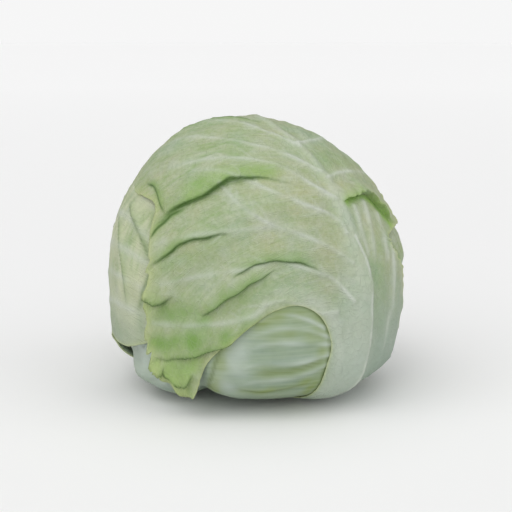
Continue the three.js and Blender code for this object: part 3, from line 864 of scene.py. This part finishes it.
def stump():
    """The cut stem: a short round stub with a bevelled rim and rings on its cut face."""
    bpy.ops.object.select_all(action="DESELECT")
    bpy.ops.mesh.primitive_cylinder_add(
        vertices=STUMP_SIDES,
        radius=STUMP_RADIUS * MM,
        depth=STUMP_TOP * MM,
        location=(0, 0, STUMP_TOP * MM / 2),
    )
    piece = bpy.context.object
    piece.name = piece.data.name = "stump_stub"
    bpy.ops.object.transform_apply(location=True)
    select_underside(piece)
    bpy.ops.mesh.bevel(offset=STUMP_BEVEL * MM, segments=3)
    select_underside(piece)
    for turn in (-1, 1) * STUMP_RING["pairs"]:
        bpy.ops.mesh.inset(thickness=STUMP_RING["width"] * MM, depth=turn * STUMP_RING["depth"] * MM)
    bpy.ops.object.mode_set(mode="OBJECT")
    bpy.ops.object.shade_smooth_by_angle(angle=math.radians(40))
    return piece


# Finishes

def srgb(red, green, blue):
    """A colour in the shader's own scale, from the 0 to 255 values of a picture."""
    def linear(value):
        value /= 255
        return value / 12.92 if value <= 0.04045 else ((value + 0.055) / 1.055) ** 2.4

    return (linear(red), linear(green), linear(blue), 1)


def add_node(tree, kind, inputs=(), **settings):
    made = tree.nodes.new(kind)
    for name, value in settings.items():
        setattr(made, name, value)
    for name, value in dict(inputs).items():
        connect(tree, made.inputs[name], value)
    return made


def connect(tree, socket, value):
    if isinstance(value, bpy.types.NodeSocket):
        tree.links.new(value, socket)
    else:
        socket.default_value = value


def blend(tree, share, first, second):
    """A colour between two, by a share from 0 to 1."""
    made = tree.nodes.new("ShaderNodeMix")
    made.data_type = "RGBA"
    connect(tree, made.inputs[0], share)
    connect(tree, made.inputs[6], first)
    connect(tree, made.inputs[7], second)
    return made.outputs[2]


def maths(tree, operation, first, second):
    made = tree.nodes.new("ShaderNodeMath")
    made.operation = operation
    connect(tree, made.inputs[0], first)
    connect(tree, made.inputs[1], second)
    return made.outputs[0]


def between(tree, value, low, high):
    """A share from 0 at low to 1 at high."""
    made = add_node(tree, "ShaderNodeMapRange", {"Value": value, "From Min": low, "From Max": high})
    return made.outputs[0]


def attribute(tree, name):
    return add_node(tree, "ShaderNodeAttribute", attribute_name=name).outputs["Fac"]


def speckle(tree, coordinates, scale, detail):
    inputs = {"Vector": coordinates, "Scale": scale, "Detail": detail, "Roughness": 0.55}
    return add_node(tree, "ShaderNodeTexNoise", inputs).outputs["Fac"]


def stretched(tree, coordinates, scale):
    return add_node(tree, "ShaderNodeMapping", {"Vector": coordinates, "Scale": scale}).outputs[0]


def vein_net(tree, coordinates, scale):
    """A share that is 1 on the lines of an uneven net."""
    inputs = {"Vector": coordinates, "Scale": scale * 0.6, "Detail": 2.0}
    wobble = add_node(tree, "ShaderNodeTexNoise", inputs)
    moved = add_node(tree, "ShaderNodeVectorMath", operation="MULTIPLY_ADD")
    connect(tree, moved.inputs[0], wobble.outputs["Color"])
    moved.inputs[1].default_value = (0.6 / scale,) * 3
    connect(tree, moved.inputs[2], coordinates)
    cells = add_node(tree, "ShaderNodeTexVoronoi", {"Vector": moved.outputs[0], "Scale": scale},
                     feature="DISTANCE_TO_EDGE")
    return between(tree, cells.outputs["Distance"], 0.09, 0.0)


def new_finish(name):
    finish = bpy.data.materials.new(name)
    finish.use_nodes = True
    tree = finish.node_tree
    return finish, tree, tree.nodes["Principled BSDF"]


# Layers of colour, laid one over another: how much of each shows, and its tone from 0 to 255
LEAF_TONES = ((162, 167, 128), (144, 165, 130))
LEAF_LAYERS = {
    "streak": (0.6, (139, 160, 104)),
    "fibre": (0.35, (182, 191, 158)),
    "wax": (0.55, (176, 184, 166)),
    "grain": (0.3, (190, 196, 172)),
    "wan": (1.0, (194, 199, 166)),
    # Greener strokes, with painted shade below the folds and in the fine wrinkles
    "green": (1.0, (116, 151, 76)),
    # Partly fresh green, partly painted light shining through the leaf
    "fresh_green_and_glow": (1.0, (134, 178, 66)),
    "net": (0.08, (190, 197, 176)),
    "bloom": (0.75, (146, 163, 152)),
    "vein": (0.9, (193, 200, 188)),
    "edge": (0.6, (188, 198, 138)),
    # Painted shade in the creases
    "crease_shade": (0.9, (62, 96, 32)),
}
LEAF_RELIEF = {"grain": 0.5, "net": 0.35, "wax": 0.6, "fibre": 0.5}
INNER_TONES = ((126, 145, 128), (142, 159, 142))
INNER_LAYERS = {
    "streak": (0.5, (153, 170, 128)),
    # Greener streaks, and painted shade beside the loose corner and in the gap at the stalk
    "green": (1.0, (124, 142, 70)),
    "fibre": (0.25, (178, 190, 166)),
    "vein": (0.8, (184, 195, 186)),
    # Painted shade in the creases
    "crease_shade": (0.8, (92, 108, 46)),
}
INNER_RELIEF = {"grain": 0.4, "streak": 1.0}
LEAF_GLOSS = 0.35


def layered(tree, colour, layers, patterns):
    """Lays layers of colour over a colour, each by its pattern, or by the piece's attribute of its name."""
    for name, (share, tone) in layers.items():
        pattern = patterns[name] if name in patterns else attribute(tree, name)
        colour = blend(tree, maths(tree, "MULTIPLY", pattern, share), colour, srgb(*tone))
    return colour


def raised(tree, shader, heights, patterns, strength, distance):
    """Raises patterns out of the surface, each by its height."""
    relief = 0.0
    for name, height in heights.items():
        relief = maths(tree, "ADD", maths(tree, "MULTIPLY", patterns[name], height), relief)
    bump = add_node(tree, "ShaderNodeBump", {"Height": relief, "Strength": strength, "Distance": distance})
    connect(tree, shader.inputs["Normal"], bump.outputs[0])


def lines_along(tree, coordinates, scale, detail, low, high):
    """A share that is 1 on thin lines, drawn out where the scale is small."""
    return between(tree, speckle(tree, stretched(tree, coordinates, scale), 1.0, detail), low, high)


def leaf_finish():
    """Matte leaf with a waxy bloom: pale veins, a fine net, streaks along the veins, painted shade in the
    creases, and bright green that is partly painted light shining through the leaf.
    """
    finish, tree, shader = new_finish("outer_leaf")
    place_in = add_node(tree, "ShaderNodeTexCoord")
    body, along = place_in.outputs["Object"], place_in.outputs["UV"]
    mottle = between(tree, speckle(tree, body, 38.0, 4.0), 0.36, 0.66)
    fibres = attribute(tree, "fibres")
    streak = lines_along(tree, along, (3.0, 46.0, 1.0), 5.0, 0.38, 0.72)
    fibre = lines_along(tree, along, (9.0, 190.0, 1.0), 3.0, 0.4, 0.68)
    grain = speckle(tree, body, 420.0, 3.0)
    patterns = {
        "streak": maths(tree, "MULTIPLY", streak, fibres),
        "fibre": maths(tree, "MULTIPLY", fibre, fibres),
        "wax": between(tree, speckle(tree, body, 95.0, 5.0), 0.5, 0.72),
        "net": vein_net(tree, body, 220.0),
        "grain": between(tree, grain, 0.4, 0.66),
    }
    colour = blend(tree, mottle, *(srgb(*tone) for tone in LEAF_TONES))
    connect(tree, shader.inputs["Base Color"], layered(tree, colour, LEAF_LAYERS, patterns))
    roughness = add_node(tree, "ShaderNodeMapRange", {"Value": mottle, "To Min": 0.52, "To Max": 0.68})
    connect(tree, shader.inputs["Roughness"], roughness.outputs[0])
    shader.inputs["Specular IOR Level"].default_value = LEAF_GLOSS
    raised(tree, shader, LEAF_RELIEF, {**patterns, "grain": grain}, 0.6, 0.0009)
    return finish


def inner_finish():
    """Satin blue-white leaf with green streaks between its veins, and painted shade in its creases, beside
    the loose corner and in the gap at the front leaf's stalk.
    """
    finish, tree, shader = new_finish("inner_leaf")
    body = add_node(tree, "ShaderNodeTexCoord").outputs["Object"]
    mottle = between(tree, speckle(tree, body, 60.0, 4.0), 0.36, 0.66)
    patterns = {
        "streak": lines_along(tree, body, (22.0, 22.0, 130.0), 4.0, 0.4, 0.7),
        "fibre": lines_along(tree, body, (26.0, 26.0, 520.0), 3.0, 0.42, 0.66),
        "grain": speckle(tree, body, 420.0, 3.0),
    }
    colour = blend(tree, mottle, *(srgb(*tone) for tone in INNER_TONES))
    connect(tree, shader.inputs["Base Color"], layered(tree, colour, INNER_LAYERS, patterns))
    shader.inputs["Roughness"].default_value = 0.5
    shader.inputs["Specular IOR Level"].default_value = LEAF_GLOSS
    raised(tree, shader, INNER_RELIEF, patterns, 0.3, 0.0007)
    return finish


def stump_finish():
    """Cut pith, pale yellow-white with rings and greener specks."""
    finish, tree, shader = new_finish("stump")
    body = add_node(tree, "ShaderNodeTexCoord").outputs["Object"]
    inputs = {"Vector": body, "Scale": 120.0, "Distortion": 3.0, "Detail": 2.0}
    rings = add_node(tree, "ShaderNodeTexWave", inputs, wave_type="RINGS", rings_direction="Z")
    grain = speckle(tree, body, 260.0, 4.0)
    colour = blend(tree, rings.outputs["Fac"], srgb(206, 204, 164), srgb(186, 188, 140))
    colour = blend(tree, maths(tree, "MULTIPLY", grain, 0.5), colour, srgb(150, 158, 104))
    connect(tree, shader.inputs["Base Color"], colour)
    shader.inputs["Roughness"].default_value = 0.75
    bump = add_node(tree, "ShaderNodeBump", {"Height": grain, "Strength": 0.4, "Distance": 0.0006})
    connect(tree, shader.inputs["Normal"], bump.outputs[0])
    return finish


# Stage, light and camera

CAMERA_ELEVATION = 11
CAMERA_DISTANCE = 0.69
CAMERA_LENS = 80
AIM_HEIGHT = 0.078
FILL_STRENGTH = 0.34
BACKGROUND_STRENGTH = 0.925
LAMPS = [
    # name, strength, spread, turns about x and y
    ("key", 1.0, 60, 28, -36),
    ("side", 0.6, 60, 20, 60),
    ("front", 0.66, 50, 66, 0),
    ("top", 0.86, 80, 0, 0),
]


def floor_finish():
    """Pale paper that is a little lighter far from the head."""
    finish, tree, shader = new_finish("floor")
    body = add_node(tree, "ShaderNodeTexCoord").outputs["Object"]
    away = add_node(tree, "ShaderNodeVectorMath", {"Vector": body}, operation="LENGTH").outputs["Value"]
    colour = blend(tree, between(tree, away, 0.3, 4.0), srgb(241, 241, 241), srgb(247, 247, 247))
    connect(tree, shader.inputs["Base Color"], colour)
    shader.inputs["Roughness"].default_value = 0.8
    shader.inputs["Specular IOR Level"].default_value = 0.1
    return finish


def stage():
    bpy.ops.object.select_all(action="DESELECT")
    bpy.ops.mesh.primitive_circle_add(vertices=96, radius=30, fill_type="NGON")
    floor = bpy.context.object
    floor.name = floor.data.name = "floor"
    floor.data.materials.append(floor_finish())


def lights():
    """Soft light from all round, broad lamps, and a plain bright background behind the head."""
    world = bpy.data.worlds.new("studio")
    bpy.context.scene.world = world
    world.use_nodes = True
    tree = world.node_tree
    fill = tree.nodes["Background"]
    fill.inputs["Strength"].default_value = FILL_STRENGTH
    fill.inputs["Color"].default_value = (1, 1, 1, 1)
    seen = add_node(tree, "ShaderNodeBackground", {"Color": (1, 1, 1, 1), "Strength": BACKGROUND_STRENGTH})
    direct = add_node(tree, "ShaderNodeLightPath").outputs["Is Camera Ray"]
    both = add_node(tree, "ShaderNodeMixShader")
    connect(tree, both.inputs[0], direct)
    connect(tree, both.inputs[1], fill.outputs[0])
    connect(tree, both.inputs[2], seen.outputs[0])
    connect(tree, tree.nodes["World Output"].inputs["Surface"], both.outputs[0])
    for name, strength, spread, turn_x, turn_y in LAMPS:
        bpy.ops.object.light_add(type="SUN", rotation=(math.radians(turn_x), math.radians(turn_y), 0))
        lamp = bpy.context.object
        lamp.name = name
        lamp.data.energy = strength
        lamp.data.angle = math.radians(spread)


def camera():
    tilt = math.radians(CAMERA_ELEVATION)
    place_at = (0, -CAMERA_DISTANCE * math.cos(tilt), AIM_HEIGHT + CAMERA_DISTANCE * math.sin(tilt))
    bpy.ops.object.camera_add(location=place_at, rotation=(math.pi / 2 - tilt, 0, 0))
    view = bpy.context.object
    view.data.lens = CAMERA_LENS
    view.data.clip_start = 0.01
    bpy.context.scene.camera = view


# The head, dressed

camera()
lights()
stage()

leaf_look, inner_look = leaf_finish(), inner_finish()
place(stump(), "stump", "stump", stump_finish())
place(inner_head(), "inner_head", "inner_leaf", inner_look)
place(front_leaf(), "leaf_front", "outer_leaf", leaf_look)
for wrapper in WRAPPERS:
    place(wrapper_leaf(wrapper), wrapper["name"], "outer_leaf", leaf_look)

bpy.context.scene.view_settings.view_transform = "Standard"
